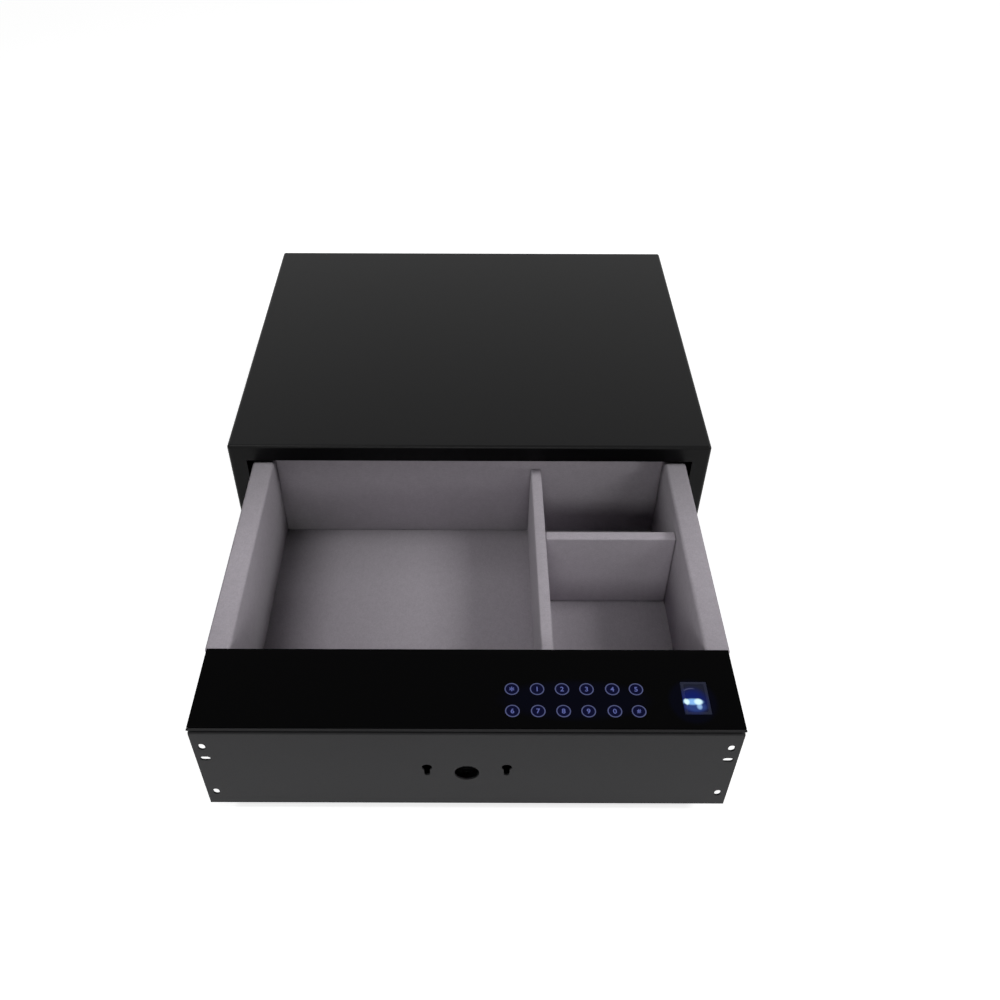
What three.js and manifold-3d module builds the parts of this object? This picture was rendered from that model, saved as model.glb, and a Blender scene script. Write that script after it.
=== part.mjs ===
import * as THREE from "three";
import { mergeVertices } from "three/addons/utils/BufferGeometryUtils.js";
import { RoundedBoxGeometry } from "three/addons/geometries/RoundedBoxGeometry.js";
import Module from "manifold-3d";

// Under desk drawer safe, in millimetres. X is to the right, Y to the back and Z up.
// The origin is the centre of the cabinet's underside, and the drawer stands fully open.

// Cabinet
const cabinetWidth = 453;
const cabinetDepth = 365;
const cabinetHeight = 130;
const cabinetSheet = 1.5;
const cabinetBend = 1.6;
const topReturn = 17.5;
const sideReturn = 16.4;
const baseLip = 6.5;
const baseFlange = 10;
const backFlange = 12;
const anchorRadius = 4;
const baseAnchorInset = 62;
const backAnchorInset = 105;

// Clearances
const fitGap = 0.3;
const drawerTopClearance = 3.35;
const drawerSideClearance = 6.85;
const lipClearance = 1.4;
const cageGap = 0.45;
const overrun = 5;

// Drawer and its front housing
const drawerSheet = 1.2;
const drawerBend = 0.9;
const frontSheet = 1.5;
const coverSheet = 0.8;
const housingDepth = 74.5;
const tubRise = 1;
const feltThickness = 2;
const feltBend = 0.9;
const feltWallWidth = 20;
const feltOverhang = 1.75;
const feltSkirt = 5;
const bulkheadFoot = 10;
const lipProud = 1;
const lipDrop = 1.1;
const lipStrip = 2;
const hemBend = 0.12;
const coverSkirt = 3.2;
const plateReturn = 8;
const grooveDepth = 3.5;
const grooveHeight = 2.2;
const panelThickness = 2;

// Dividers
const dividerThickness = 10;
const dividerDrop = 13.1;
const dividerRound = 1.6;
const longDividerOffset = 63.75;
const crossDividerSetback = 214.1;

// Front plate openings
const lockHeight = 43.7;
const lockHoleRadius = 9.5;
const keyholeOffset = 30.3;
const keyholeRise = 7.5;
const keyholeRadius = 4;
const keyholeSlot = 4.5;
const keyholeDrop = 10.8;
const endHoleInset = 7.25;
const endHoleWidth = 5;
const endHoleHeight = 7.6;
const lowEndHoleRise = 16.2;
const highEndHoleDrop = 23.45;
const endSlotDrop = 38.75;
const endSlotLength = 8;
const endSlotHeight = 5;
const clearHoleMargin = 1.5;
const studRoomRadius = 7.5;

// Keypad and fingerprint reader
const readerWidth = 19.5;
const readerDepth = 29;
const readerInset = 32.7;
const readerSetback = 29.5;
const bezelRim = 2.2;
const bezelHeight = 3.1;
const windowThickness = 1.4;
const windowRecess = 0.4;
const moduleHeight = 9;
const moduleLedge = 1.5;
const keyColumns = 6;
const keyPitch = 18.8;
const keypadMargin = 8;
const keypadToReader = 24.8;
const keypadDepth = 34;
const keypadSetback = 27.5;
const boardThickness = 1.6;

// Telescopic slides
const slideSetback = 8;
const slideRearSpace = 57;
const slideHeight = 45;
const slideStopAllowance = 4;
const outerRailSheet = 1.2;
const middleRailSheet = 1;
const innerRailSheet = 1.2;
const outerCageSheet = 0.8;
const innerCageSheet = 0.5;
const railBend = 1;
const cageBend = 0.5;
const outerRailLip = 3.4;
const middleRailLip = 3;
const lipRelief = 0.7;
const lipStep = 0.8;
const flangeRelief = 0.6;
const ballRadius = 2.3;
const cageMargin = 16;
const ballMargin = 9;
const ballsInRow = 4;
const bufferThickness = 3;
const bufferHeight = 24;
const railScrewInset = 35;
const railSlotInset = 75;
const railSlotLength = 12;
const railSlotWidth = 5;
const screwShankRadius = 1.8;
const screwHeadRadius = 3.5;
const screwHeadHeight = 2.2;
const screwLength = 6;
const screwSocketRadius = 1.4;
const bracketSheet = 1.5;
const bracketWebHeight = 52;
const bracketFoot = 12;
const bracketSetback = 6;

// Battery compartment
const batteryRadius = 7.25;
const batteryLength = 49.5;
const batteryNubRadius = 2.75;
const batteryNubLength = 1.5;
const springRoom = 3.6;
const trayWall = 1.5;
const trayRim = 4;
const doorSheet = 1.8;
const doorMargin = 2;
const doorNotch = 14;
const doorNotchDepth = 2.6;
const hingeBarrelRadius = 2.2;
const hingePinRadius = 1;
const hingeEar = 3;
const hingeRise = 1.8;

// Lock
const lockSheet = 1.5;
const lockBracketWidth = 48;
const lockBracketSetback = 12.3;
const lockBracketClearance = 2.2;
const lockUprightHeight = 64;
const cheekHeight = 66;
const cheekMargin = 5.6;
const lockHeadRadius = 11;
const lockHeadThickness = 3;
const lockBarrelRadius = 9;
const plugRadius = 6;
const plugRecess = 0.6;
const keySlotWidth = 1.6;
const keySlotHeight = 7;
const keySlotDepth = 5;
const spigotRadius = 3;
const nutFlats = 24;
const nutThickness = 4.5;
const crankRadius = 6;
const crankTurn = Math.PI / 2;
const crankThickness = 2.5;
const crankPinRadius = 2;
const crankPinLength = 7;
const crankWall = 2.2;
const carrierThickness = 4;
const carrierTop = 21;
const carrierEarLow = 13;
const carrierEar = 4.5;
const carrierFoot = 6;
const carrierFootWidth = 18;
const slotPlay = 0.55;
const boltRadius = 5;
const boltToCarrier = 15.2;
const boltNeckRadius = 3;
const boltHeadRadius = 4.2;
const boltHeadHeight = 1.4;
const boltGuideWall = 2.4;
const boltGuideHeight = 5.5;
const boltGuideMargin = 0.8;
const boltAboveUnderside = 1.5;
const boltBodyLength = 17.8;
const gearModule = 1;
const pinionTeeth = 12;
const addendumShare = 0.8;
const dedendumShare = 1.25;
const pressureAngle = (20 * Math.PI) / 180;
const toothPlay = 0.1;
const meshPlay = 0.2;
const pinionShaftRadius = 1.5;
const motorRadius = 9.6;
const motorSetback = 12.4;
const motorBossRadius = 3.6;
const motorTab = 22;

// Control board
const controlWidth = 80;
const controlSetback = 14;
const controlRearSpace = 6.2;
const controlStandoff = 10;
const standoffRadius = 2.5;
const standoffInset = 4;
const chipSize = 14;
const chipHeight = 2;
const connectorWidth = 9;
const connectorDepth = 7;
const connectorHeight = 6;
const capacitorRadius = 4;
const capacitorHeight = 11;
const buzzerRadius = 5.5;

// Fineness of the curves
const bendSteps = 3;
const roundSides = 24;
const smallSides = 16;
const ballSides = 6;
const hexSides = 6;
const feltSteps = 2;
const arcSteps = 4;
const panSteps = 2;
const weldTolerance = 1e-4;

// Places that follow from the sizes above
const cabinetInner = cabinetWidth / 2 - cabinetSheet;
const openingHalfWidth = cabinetWidth / 2 - sideReturn;
const openingTop = cabinetHeight - topReturn;
const slideLength = cabinetDepth - slideSetback - slideRearSpace;
const drawerTravel = slideLength - slideStopAllowance;
const frontHalfWidth = openingHalfWidth - drawerSideClearance;
const frontBottom = baseLip + lipClearance;
const drawerTop = openingTop - drawerTopClearance;
const drawerLength = slideSetback + slideLength + fitGap;
const wallOuter = frontHalfWidth + feltOverhang;
const storageHalfWidth = wallOuter - feltWallWidth;
const tubInner = storageHalfWidth + feltThickness + fitGap;
const tubOuter = tubInner + drawerSheet;
const tubFloor = frontBottom + tubRise + drawerSheet;
const tubFront = lipProud + frontSheet + fitGap;
const tubFrontInner = tubFront + drawerSheet;
const tubRearInner = drawerLength - drawerSheet;
const flangeTop = drawerTop - feltThickness - fitGap;
const liningFloor = tubFloor + fitGap;
const storageFloor = liningFloor + feltThickness;
const storageRear = tubRearInner - fitGap - feltThickness;
const liningFront = housingDepth - feltThickness;
const bulkheadRear = liningFront - fitGap;
const bulkheadFace = bulkheadRear - drawerSheet;
const lockBracketRear = bulkheadFace - lockBracketClearance;
const boltRoomRadius = boltRadius + 2 * fitGap;
const boltSetback = lockBracketRear - boltGuideMargin - boltGuideWall - boltRoomRadius;
const coverTop = drawerTop - panelThickness - fitGap;
const coverUnder = coverTop - coverSheet;
const plateTop = coverUnder - fitGap;
const grooveFloor = plateTop - grooveHeight;
const bayTop = grooveFloor - frontSheet - fitGap;
const slideMiddle = (frontBottom + drawerTop) / 2;
const lockCentre = frontBottom + lockHeight;

// Levels in the section of a slide: u from the drawer's side outwards, v from its middle up
const outerBallV = slideHeight / 2 - outerRailSheet - fitGap - ballRadius;
const middleTopV = outerBallV - ballRadius - fitGap;
const innerBallV = middleTopV - middleRailSheet - fitGap - ballRadius;
const innerTopV = innerBallV - ballRadius - fitGap;
const middleLipU = innerRailSheet + lipRelief;
const innerBallU = middleLipU + middleRailSheet + fitGap + ballRadius;
const innerCageU = innerBallU + ballRadius;
const innerFlangeU = innerCageU - flangeRelief;
const middleWebU = innerCageU + innerCageSheet + cageGap;
const outerCageU = middleWebU + middleRailSheet + cageGap;
const outerWebU = outerCageU + outerCageSheet + cageGap;
const slideThickness = outerWebU + outerRailSheet;
const outerLipU = middleLipU + lipStep;
const outerBallU = (outerLipU + outerRailSheet + outerCageU) / 2;
const slideInner = tubOuter + fitGap;
const bracketFace = slideInner + slideThickness + fitGap;

const wasm = await Module();
wasm.setup();

// A closed geometry as a solid, facing out whichever way its profile was drawn.
function solidOf(geometry) {
  geometry.deleteAttribute("normal");
  geometry.deleteAttribute("uv");
  const welded = mergeVertices(geometry, weldTolerance);
  const corners = welded.index.array;
  const kept = [];
  for (let i = 0; i < corners.length; i += 3) {
    const [a, b, c] = [corners[i], corners[i + 1], corners[i + 2]];
    if (a !== b && b !== c && c !== a) kept.push(a, b, c);
  }
  const vertProperties = welded.attributes.position.array;
  const facing = (order) =>
    new wasm.Manifold(new wasm.Mesh({ numProp: 3, vertProperties, triVerts: new Uint32Array(order) }));
  const solid = facing(kept);
  return solid.volume() > 0 ? solid : facing(kept.reverse());
}

const joined = (solids) => solids.reduce((whole, solid) => whole.add(solid));
const cut = (whole, solids) => solids.reduce((rest, solid) => rest.subtract(solid), whole);

// Plain and rounded boxes between their faces
function block(x0, x1, y0, y1, z0, z1) {
  const box = new THREE.BoxGeometry(x1 - x0, y1 - y0, z1 - z0);
  return solidOf(box.translate((x0 + x1) / 2, (y0 + y1) / 2, (z0 + z1) / 2));
}

function roundedBlock(x0, x1, y0, y1, z0, z1, radius, steps) {
  const box = new RoundedBoxGeometry(x1 - x0, y1 - y0, z1 - z0, steps, radius);
  return solidOf(box.translate((x0 + x1) / 2, (y0 + y1) / 2, (z0 + z1) / 2));
}

const extruded = (shape, depth) =>
  new THREE.ExtrudeGeometry(shape, { depth, bevelEnabled: false, curveSegments: arcSteps });

// A shape drawn in X and Z, carried from y0 back to y1.
const sweepY = (shape, y0, y1) =>
  solidOf(extruded(shape, y1 - y0).rotateX(Math.PI / 2).translate(0, y1, 0));

// A shape drawn in Y and Z, carried from x0 to x1.
function sweepX(shape, x0, x1) {
  const turned = new THREE.Matrix4().makeBasis(
    new THREE.Vector3(0, 1, 0),
    new THREE.Vector3(0, 0, 1),
    new THREE.Vector3(1, 0, 0),
  );
  return solidOf(extruded(shape, x1 - x0).applyMatrix4(turned).translate(x0, 0, 0));
}

// A profile of [radius, height] pairs, turned about an upright axis through x and y.
function turnedZ(profile, x, y, sides = roundSides) {
  const points = profile.map(([radius, height]) => new THREE.Vector2(radius, height));
  return solidOf(new THREE.LatheGeometry(points, sides).rotateX(Math.PI / 2).translate(x, y, 0));
}

// The same about an axis along Y, through x and z; heights are then distances back.
function turnedY(profile, x, z, sides = roundSides) {
  const points = profile.map(([radius, distance]) => new THREE.Vector2(radius, distance));
  return solidOf(new THREE.LatheGeometry(points, sides).translate(x, 0, z));
}

// The same about an axis along X, through y and z; heights are then distances to the right.
function turnedX(profile, y, z, sides = roundSides) {
  const points = profile.map(([radius, distance]) => new THREE.Vector2(radius, distance));
  return solidOf(new THREE.LatheGeometry(points, sides).rotateZ(-Math.PI / 2).translate(0, y, z));
}

// The profile of a plain round bar
const rod = (radius, from, to) => [
  [0, from],
  [radius, from],
  [radius, to],
  [0, to],
];

// The outline of a sheet folded along a path: the path is its right-hand face, and the sheet
// lies to the left of it. Every fold has the same inner radius.
function foldedSheet(path, sheet, innerRadius) {
  const noShift = new THREE.Vector2();
  const corners = path.map(([a, b]) => new THREE.Vector2(a, b));
  const headings = corners.slice(1).map((corner, i) => corner.clone().sub(corners[i]).normalize());
  const leftOf = (v) => new THREE.Vector2(-v.y, v.x);
  const near = [];
  const far = [];
  corners.forEach((corner, i) => {
    const before = headings[i - 1];
    const after = headings[i];
    if (!before || !after) {
      near.push(corner);
      far.push(corner.clone().addScaledVector(leftOf(before ?? after), sheet));
      return;
    }
    const turn = Math.atan2(before.cross(after), before.dot(after));
    const side = Math.sign(turn);
    const nearRadius = innerRadius + (side > 0 ? sheet : 0);
    const farRadius = innerRadius + (side > 0 ? 0 : sheet);
    const setback = nearRadius * Math.tan(Math.abs(turn) / 2);
    const start = corner.clone().addScaledVector(before, -setback);
    const centre = start.addScaledVector(leftOf(before), side * nearRadius);
    for (let step = 0; step <= bendSteps; step += 1) {
      const angle = (turn * step) / bendSteps;
      const spoke = leftOf(before).multiplyScalar(-side).rotateAround(noShift, angle);
      near.push(centre.clone().addScaledVector(spoke, nearRadius));
      far.push(centre.clone().addScaledVector(spoke, farRadius));
    }
  });
  return new THREE.Shape([...near, ...far.reverse()]);
}

// A slot with round ends, drawn about its middle.
function slotShape(x, y, length, width, upright = false) {
  const half = (length - width) / 2;
  const shape = new THREE.Shape();
  if (upright) {
    shape.absarc(x, y + half, width / 2, 0, Math.PI);
    shape.absarc(x, y - half, width / 2, Math.PI, 2 * Math.PI);
  } else {
    shape.absarc(x + half, y, width / 2, -Math.PI / 2, Math.PI / 2);
    shape.absarc(x - half, y, width / 2, Math.PI / 2, (3 * Math.PI) / 2);
  }
  shape.closePath();
  return shape;
}

const finish = (color, roughness, metalness) =>
  new THREE.MeshStandardMaterial({ color, roughness, metalness });
const powderCoat = finish(0x1d1d1f, 0.5, 0.3);
const frontCoat = finish(0x2b2b2d, 0.5, 0.3);
const zincPlate = finish(0xa9abb0, 0.35, 0.9);
const brightSteel = finish(0xc9cbd0, 0.2, 1);
const felt = finish(0x77727a, 0.98, 0);
const glossPanel = finish(0x060607, 0.08, 0);
const blackPlastic = finish(0x141416, 0.5, 0);
const smokedGlass = finish(0x0a1030, 0.05, 0);
const greenBoard = finish(0x0f3d24, 0.5, 0.1);
const rubber = finish(0x101010, 0.9, 0);
const cellWrap = finish(0x2f5f8f, 0.4, 0.2);
const brass = finish(0xb08d4a, 0.3, 0.9);
const blackZinc = finish(0x1a1a1c, 0.4, 0.6);

function piece(group, name, solid, material) {
  const made = solid.getMesh();
  const geometry = new THREE.BufferGeometry();
  const places = new Float32Array(made.vertProperties);
  geometry.setAttribute("position", new THREE.BufferAttribute(places, 3));
  geometry.setIndex(new THREE.BufferAttribute(new Uint32Array(made.triVerts), 1));
  geometry.computeVertexNormals();
  const mesh = new THREE.Mesh(geometry, material.clone());
  mesh.name = name;
  group.add(mesh);
}

// Cabinet, with Y measured back from its front
function cabinetWrap() {
  const outerRadius = cabinetBend + cabinetSheet;
  const half = cabinetWidth / 2;
  const back = cabinetDepth + overrun + outerRadius;
  const under = -overrun - outerRadius;
  const roof = cabinetHeight - cabinetSheet;
  const outer = roundedBlock(-half, half, 0, back, under, cabinetHeight, outerRadius, bendSteps);
  const hollow = roundedBlock(
    -cabinetInner,
    cabinetInner,
    cabinetSheet,
    back + overrun,
    under - overrun,
    roof,
    cabinetBend,
    bendSteps,
  );
  const wide = half + overrun;
  const opening = block(-openingHalfWidth, openingHalfWidth, -overrun, overrun, under, openingTop);
  const below = block(-wide, wide, -overrun, back + overrun, under - overrun, 0);
  const high = cabinetHeight + overrun;
  const behind = block(-wide, wide, cabinetDepth, back + overrun, under - overrun, high);
  return cut(outer, [hollow, opening, below, behind]);
}

function cabinetBase() {
  const half = cabinetInner - fitGap;
  const flat = half - cabinetBend - cabinetSheet;
  const front = cabinetSheet + cabinetBend;
  const trough = [
    [-half, baseFlange],
    [-half, 0],
    [half, 0],
    [half, baseFlange],
  ];
  const lip = [
    [0, baseLip],
    [0, 0],
    [cabinetDepth, 0],
  ];
  const flanged = sweepY(
    foldedSheet(trough, cabinetSheet, cabinetBend),
    front,
    cabinetDepth - backFlange - fitGap,
  );
  const lipHalf = openingHalfWidth - fitGap;
  const lipped = sweepX(foldedSheet(lip, cabinetSheet, cabinetBend), -lipHalf, lipHalf);
  const floor = block(-flat, flat, front, cabinetDepth, 0, cabinetSheet);
  const anchors = [-1, 1].flatMap((side) =>
    [baseAnchorInset, cabinetDepth - baseAnchorInset].map((y) =>
      turnedZ(rod(anchorRadius, -overrun, overrun), side * (cabinetWidth / 2 - baseAnchorInset), y),
    ),
  );
  return cut(joined([flanged, lipped, floor]), anchors);
}

function cabinetBack() {
  const outerRadius = cabinetBend + cabinetSheet;
  const half = cabinetInner - fitGap;
  const low = cabinetSheet + fitGap;
  const high = cabinetHeight - cabinetSheet - fitGap;
  const front = cabinetDepth - backFlange;
  const deep = front - overrun - outerRadius;
  const outer = roundedBlock(-half, half, deep, cabinetDepth, low, high, outerRadius, panSteps);
  const hollow = roundedBlock(
    -half + cabinetSheet,
    half - cabinetSheet,
    deep - overrun,
    cabinetDepth - cabinetSheet,
    low + cabinetSheet,
    high - cabinetSheet,
    cabinetBend,
    panSteps,
  );
  const ahead = block(-half - overrun, half + overrun, deep - overrun, front, 0, cabinetHeight);
  const anchors = [-1, 1].map((side) =>
    turnedY(
      rod(anchorRadius, cabinetDepth - overrun, cabinetDepth + overrun),
      side * (cabinetWidth / 2 - backAnchorInset),
      cabinetHeight / 2,
    ),
  );
  return cut(outer, [hollow, ahead, ...anchors]);
}

// Slides, drawn for the right-hand side with the drawer pushed in
const railScrewPlaces = [slideSetback + railScrewInset, slideSetback + slideLength - railScrewInset];
const railSlotPlaces = [slideSetback + railSlotInset, slideSetback + slideLength - railSlotInset];
const outerRailEnd = slideSetback + slideLength + fitGap + bufferThickness;

const onSlide = (path) => path.map(([u, v]) => [slideInner + u, slideMiddle + v]);

// The holes for a rail's two screws, through the sheet at x
const railScrewHoles = (x) =>
  railScrewPlaces.map((y) =>
    turnedX(rod(screwShankRadius + fitGap, x - overrun, x + overrun), y, slideMiddle, smallSides),
  );

// A channel that opens towards the drawer, with lips folded back over its mouth
function lippedChannel(mouthU, webU, topV, lip, sheet) {
  const path = [
    [mouthU, lip - topV],
    [mouthU, -topV],
    [webU, -topV],
    [webU, topV],
    [mouthU, topV],
    [mouthU, topV - lip],
  ];
  return foldedSheet(onSlide(path), sheet, railBend);
}

function webSlots(places, u) {
  const x = slideInner + u;
  const shapes = places.map((y) => slotShape(y, slideMiddle, railSlotLength, railSlotWidth));
  return shapes.map((shape) => sweepX(shape, x - overrun / 2, x + overrun / 2));
}

function railBracket() {
  const wall = cabinetInner - fitGap;
  const web = bracketFace + bracketSheet;
  const half = bracketWebHeight / 2;
  const path = [
    [wall, slideMiddle - half - bracketFoot],
    [wall, slideMiddle - half],
    [web, slideMiddle - half],
    [web, slideMiddle + half],
    [wall, slideMiddle + half],
    [wall, slideMiddle + half + bracketFoot],
  ];
  const hat = sweepY(foldedSheet(path, bracketSheet, cabinetBend), bracketSetback, outerRailEnd);
  return cut(hat, railScrewHoles(bracketFace));
}

function outerRail() {
  const topV = slideHeight / 2;
  const channel = lippedChannel(outerLipU, slideThickness, topV, outerRailLip, outerRailSheet);
  const head = slideInner + outerWebU;
  const countersink = [
    [0, head - overrun],
    [screwHeadRadius + fitGap, head - overrun],
    [screwHeadRadius + fitGap, head],
    [screwShankRadius + fitGap, head + outerRailSheet],
    [screwShankRadius + fitGap, head + overrun],
    [0, head + overrun],
  ];
  const sinks = railScrewPlaces.map((y) => turnedX(countersink, y, slideMiddle, smallSides));
  const rail = sweepY(channel, slideSetback, outerRailEnd);
  return cut(rail, [...sinks, ...webSlots(railSlotPlaces, outerWebU)]);
}

function middleRail() {
  const channel = lippedChannel(
    middleLipU,
    middleWebU + middleRailSheet,
    middleTopV,
    middleRailLip,
    middleRailSheet,
  );
  return sweepY(channel, slideSetback, slideSetback + slideLength);
}

function innerRail() {
  const path = [
    [innerFlangeU, innerTopV],
    [0, innerTopV],
    [0, -innerTopV],
    [innerFlangeU, -innerTopV],
  ];
  const channel = sweepY(
    foldedSheet(onSlide(path), innerRailSheet, railBend),
    slideSetback,
    slideSetback + slideLength,
  );
  return cut(channel, [...railScrewHoles(slideInner), ...webSlots(railSlotPlaces, 0)]);
}

// A ball cage: a channel strip that carries a row of balls along each of its edges
function ballCage(webU, ballU, ballV, sheet) {
  const length = slideLength - drawerTravel / 2 - 2 * cageMargin;
  const start = slideSetback + (slideLength - length) / 2;
  const edge = ballV + sheet / 2;
  const path = [
    [ballU - ballRadius, -edge],
    [webU + sheet, -edge],
    [webU + sheet, edge],
    [ballU - ballRadius, edge],
  ];
  const strip = sweepY(foldedSheet(onSlide(path), sheet, cageBend), start, start + length);
  const pitch = (length - 2 * ballMargin) / (ballsInRow - 1);
  const balls = [-1, 1].flatMap((side) =>
    Array.from({ length: ballsInRow }, (_, i) =>
      solidOf(
        new THREE.SphereGeometry(ballRadius, ballSides, ballSides - 2).translate(
          slideInner + ballU,
          start + ballMargin + i * pitch,
          slideMiddle + side * ballV,
        ),
      ),
    ),
  );
  return joined([strip, ...balls]);
}

const outerBallCage = () => ballCage(outerCageU, outerBallU, outerBallV, outerCageSheet);
const innerBallCage = () => ballCage(innerCageU, innerBallU, innerBallV, innerCageSheet);

function railBuffer() {
  const end = slideSetback + slideLength + fitGap;
  return block(
    slideInner + outerLipU + outerRailSheet + fitGap,
    slideInner + outerWebU - fitGap,
    end,
    end + bufferThickness,
    slideMiddle - bufferHeight / 2,
    slideMiddle + bufferHeight / 2,
  );
}

function outerRailScrew(y) {
  const head = slideInner + outerWebU;
  const profile = [
    [0, head],
    [screwHeadRadius, head],
    [screwShankRadius, head + outerRailSheet],
    [screwShankRadius, head + screwLength],
    [0, head + screwLength],
  ];
  const hex = rod(screwSocketRadius, head - overrun, head + outerRailSheet);
  const socket = turnedX(hex, y, slideMiddle, hexSides);
  return turnedX(profile, y, slideMiddle, smallSides).subtract(socket);
}

function innerRailScrew(y) {
  const under = slideInner + innerRailSheet + fitGap;
  const top = under + screwHeadHeight;
  const profile = [
    [0, tubInner],
    [screwShankRadius, tubInner],
    [screwShankRadius, under],
    [screwHeadRadius, under],
    [screwHeadRadius, top - screwHeadHeight / 2],
    [screwHeadRadius - screwHeadHeight / 2, top],
    [0, top],
  ];
  const hex = rod(screwSocketRadius, top - screwHeadHeight / 2, top + overrun);
  const socket = turnedX(hex, y, slideMiddle, hexSides);
  return turnedX(profile, y, slideMiddle, smallSides).subtract(socket);
}

// Drawer, with Y measured back from the face of its front lip
const bracketHalf = lockBracketWidth / 2;

// The tub's floor and sides, folded from one sheet; its two end walls are welded in
function drawerTub() {
  const flangeTip = wallOuter - feltThickness - fitGap;
  const across = [
    [flangeTip, flangeTop],
    [tubInner, flangeTop],
    [tubInner, tubFloor],
    [-tubInner, tubFloor],
    [-tubInner, flangeTop],
    [-flangeTip, flangeTop],
  ];
  const tub = sweepY(foldedSheet(across, drawerSheet, drawerBend), tubFront, drawerLength);
  const wide = wallOuter + overrun;
  const high = drawerTop + overrun;
  const wallTop = flangeTop - drawerSheet - fitGap;
  const coverRoom = block(-wide, wide, 0, housingDepth + fitGap, wallTop, high);
  const returnRoom = block(-wide, wide, 0, lipProud + plateReturn + fitGap, bayTop, high);
  const boltRoom = rod(boltRoomRadius, 0, tubFloor + overrun);
  const boltHole = turnedZ(boltRoom, 0, boltSetback, smallSides);
  const screwHoles = [-1, 1].flatMap((side) => railScrewHoles(side * tubOuter));
  return cut(tub, [coverRoom, returnRoom, boltHole, ...screwHoles]);
}

function tubEndWall(front, top) {
  const half = tubInner - fitGap;
  return block(-half, half, front, front + drawerSheet, tubFloor + fitGap, top);
}

function tubFrontWall() {
  const windowHalf = keyholeOffset + studRoomRadius;
  const window = block(
    -windowHalf,
    windowHalf,
    0,
    tubFrontInner + overrun,
    lockCentre - lockHoleRadius - clearHoleMargin,
    lockCentre + keyholeRise / 2 + studRoomRadius,
  );
  return tubEndWall(tubFront, bayTop).subtract(window);
}

const tubRearWall = () => tubEndWall(tubRearInner, flangeTop);

function frontPlate() {
  const grooveBack = lipProud + grooveDepth;
  const path = [
    [lipProud + plateReturn, plateTop],
    [grooveBack, plateTop],
    [grooveBack, grooveFloor],
    [lipProud, grooveFloor],
    [lipProud, frontBottom],
  ];
  const plate = sweepX(foldedSheet(path, frontSheet, hemBend), -frontHalfWidth, frontHalfWidth);
  const lockHole = turnedY(rod(lockHoleRadius, -overrun, overrun), 0, lockCentre);
  const keyholes = [-1, 1].flatMap((side) => {
    const x = side * keyholeOffset;
    const eye = lockCentre + keyholeRise;
    const slot = slotShape(x, eye - keyholeDrop / 2, keyholeDrop, keyholeSlot, true);
    const round = turnedY(rod(keyholeRadius, -overrun, overrun), x, eye, smallSides);
    return [round, sweepY(slot, -overrun, overrun)];
  });
  const endHoles = [-1, 1].flatMap((side) => {
    const x = side * (frontHalfWidth - endHoleInset);
    const upright = [frontBottom + lowEndHoleRise, drawerTop - highEndHoleDrop].map((z) =>
      slotShape(x, z, endHoleHeight, endHoleWidth, true),
    );
    const level = slotShape(x, drawerTop - endSlotDrop, endSlotLength, endSlotHeight);
    return [...upright, level].map((shape) => sweepY(shape, -overrun, overrun));
  });
  return cut(plate, [lockHole, ...keyholes, ...endHoles]);
}

const readerX = frontHalfWidth - readerInset;
const keypadWidth = (keyColumns - 1) * keyPitch + 2 * keypadMargin;
const keypadX = readerX - readerWidth / 2 - keypadToReader - keypadWidth / 2;

// A box about a middle, bigger by a margin on its four upright sides
function upright(x, y, width, depth, margin, z0, z1) {
  const halfX = width / 2 + margin;
  const halfY = depth / 2 + margin;
  return block(x - halfX, x + halfX, y - halfY, y + halfY, z0, z1);
}

const aroundReader = (margin, z0, z1) =>
  upright(readerX, readerSetback, readerWidth, readerDepth, margin, z0, z1);
const aroundKeypad = (margin, z0, z1) =>
  upright(keypadX, keypadSetback, keypadWidth, keypadDepth, margin, z0, z1);
const readerRoom = () => aroundReader(fitGap, coverUnder - overrun, drawerTop + overrun);

function topCover() {
  const rear = housingDepth - fitGap;
  const path = [
    [rear, coverTop],
    [lipStrip, coverTop],
    [lipStrip, drawerTop],
    [0, drawerTop],
    [0, drawerTop - lipDrop],
  ];
  const tray = sweepX(foldedSheet(path, coverSheet, hemBend), -frontHalfWidth, frontHalfWidth);
  const skirtFront = lipProud + plateReturn + fitGap;
  const skirts = [-1, 1].map((side) => {
    const skirt = block(
      frontHalfWidth - coverSheet,
      frontHalfWidth,
      skirtFront,
      rear,
      coverTop - coverSkirt,
      coverTop,
    );
    return side < 0 ? skirt.mirror([1, 0, 0]) : skirt;
  });
  const keypadRoom = aroundKeypad(fitGap, coverUnder - overrun, drawerTop + overrun);
  return cut(joined([tray, ...skirts]), [keypadRoom, readerRoom()]);
}

function keypadPanel() {
  const front = lipStrip + fitGap;
  const sheet = block(
    -frontHalfWidth,
    frontHalfWidth,
    front,
    housingDepth,
    drawerTop - panelThickness,
    drawerTop,
  );
  return sheet.subtract(readerRoom());
}

function keypadBoard() {
  const under = coverTop - boardThickness;
  const chip = upright(keypadX, keypadSetback, chipSize, chipSize, 0, under - chipHeight, under);
  const plugX = keypadX + keypadWidth / 2 - connectorWidth;
  const low = under - connectorHeight;
  const socket = upright(plugX, keypadSetback, connectorWidth, connectorDepth, 0, low, under);
  return joined([aroundKeypad(0, under, coverTop), chip, socket]);
}

function fingerprintBezel() {
  const low = drawerTop - bezelHeight;
  const sight = aroundReader(-bezelRim, low - overrun, drawerTop + overrun);
  return aroundReader(0, low, drawerTop).subtract(sight);
}

function fingerprintWindow() {
  const top = drawerTop - windowRecess;
  return aroundReader(-bezelRim - fitGap, top - windowThickness, top);
}

function fingerprintModule() {
  const shoulder = coverUnder - fitGap;
  const low = shoulder - moduleHeight;
  const sensorTop = drawerTop - windowRecess - windowThickness - fitGap;
  const sensor = aroundReader(-bezelRim - fitGap, low, sensorTop);
  return sensor.add(aroundReader(moduleLedge, low, shoulder));
}

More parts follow.
